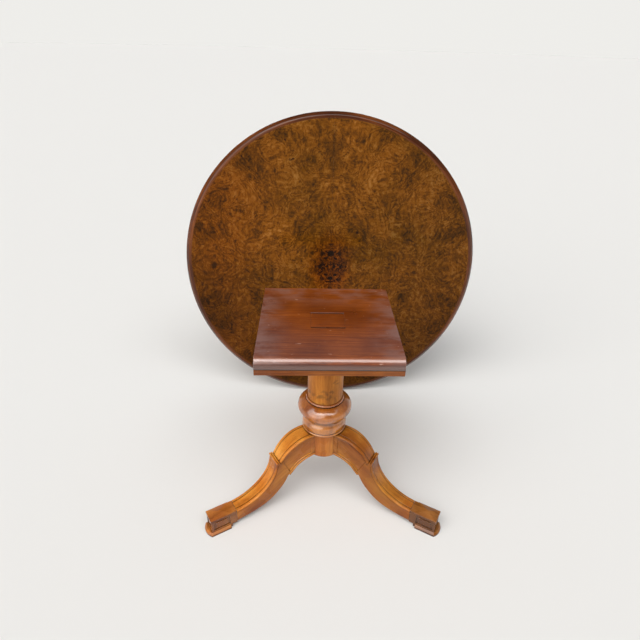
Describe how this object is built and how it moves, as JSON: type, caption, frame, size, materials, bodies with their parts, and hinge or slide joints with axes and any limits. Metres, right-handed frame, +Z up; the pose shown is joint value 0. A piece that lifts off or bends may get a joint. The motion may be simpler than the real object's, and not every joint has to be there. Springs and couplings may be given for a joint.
{
  "type": "tilt-top centre table",
  "caption": "Round burr walnut tilt-top table taken apart: a tripod base with a turned column and a pivot block, and its round top standing on edge behind it.",
  "frame": {"origin": "middle of the whole table's outline on the floor, with its top stood behind its base", "axes": "+Z up; -Y is the front, where the block's rounded edge and the top's polished face look; +X to the right"},
  "size_m": [1.22, 0.975, 1.2091],
  "materials": {
    "mahogany": "worn french polish",
    "pine": "plain, unpolished",
    "walnut": "glossy french polish",
    "walnut_red": "glossy french polish",
    "burr_walnut": "glossy french polish",
    "edge_walnut": "glossy french polish",
    "brass": "aged",
    "steel": "dull iron"
  },
  "bodies": {
    "base": {"block_upper_board": "mahogany", "block_lower_board": "walnut_red", "block_screws": "steel", "striker_plate": "brass", "striker_screws": "brass", "column": "walnut", "tenon_wedges": "mahogany", "upper_ring": "walnut", "lower_ring": "walnut", "hub": "walnut", "leg_front_left": "walnut", "leg_front_right": "walnut", "leg_rear": "walnut", "foot_front_left": "walnut_red", "foot_front_right": "walnut_red", "foot_rear": "walnut_red"},
    "top": {"top_board_1": "pine", "top_board_2": "pine", "top_board_3": "pine", "top_board_4": "pine", "veneer_back_right": "burr_walnut", "veneer_back_left": "burr_walnut", "veneer_front_left": "burr_walnut", "veneer_front_right": "burr_walnut", "rim_1": "edge_walnut", "rim_2": "edge_walnut", "rim_3": "edge_walnut", "rim_4": "edge_walnut", "rim_5": "edge_walnut", "rim_6": "edge_walnut", "rim_7": "edge_walnut", "rim_8": "edge_walnut", "bearer_left": "mahogany", "bearer_right": "mahogany", "bearer_screws": "steel", "catch_case": "brass", "catch_screws": "brass", "catch_spring": "steel"},
    "pivot_bolts": {"pivot_bolts": "brass"},
    "catch_bolt": {"catch_bolt": "brass"}
  },
  "joints": [
    {"name": "top_lift", "type": "slide", "parent": "base", "child": "top", "axis": [0, 0, 1], "range_m": [0, 0.72]},
    {"name": "pivot_turn", "type": "hinge", "parent": "top", "child": "pivot_bolts", "pos_m": [0, 0.3936, 0.40895], "axis": [1, 0, 0], "range_deg": [0, 90]},
    {"name": "catch_slide", "type": "slide", "parent": "top", "child": "catch_bolt", "axis": [0, 0.134, 0.991], "range_m": [0, 0.011], "stiffness_N_per_m": 300, "springref_m": -0.004, "deforming": ["catch_spring"]}
  ]
}
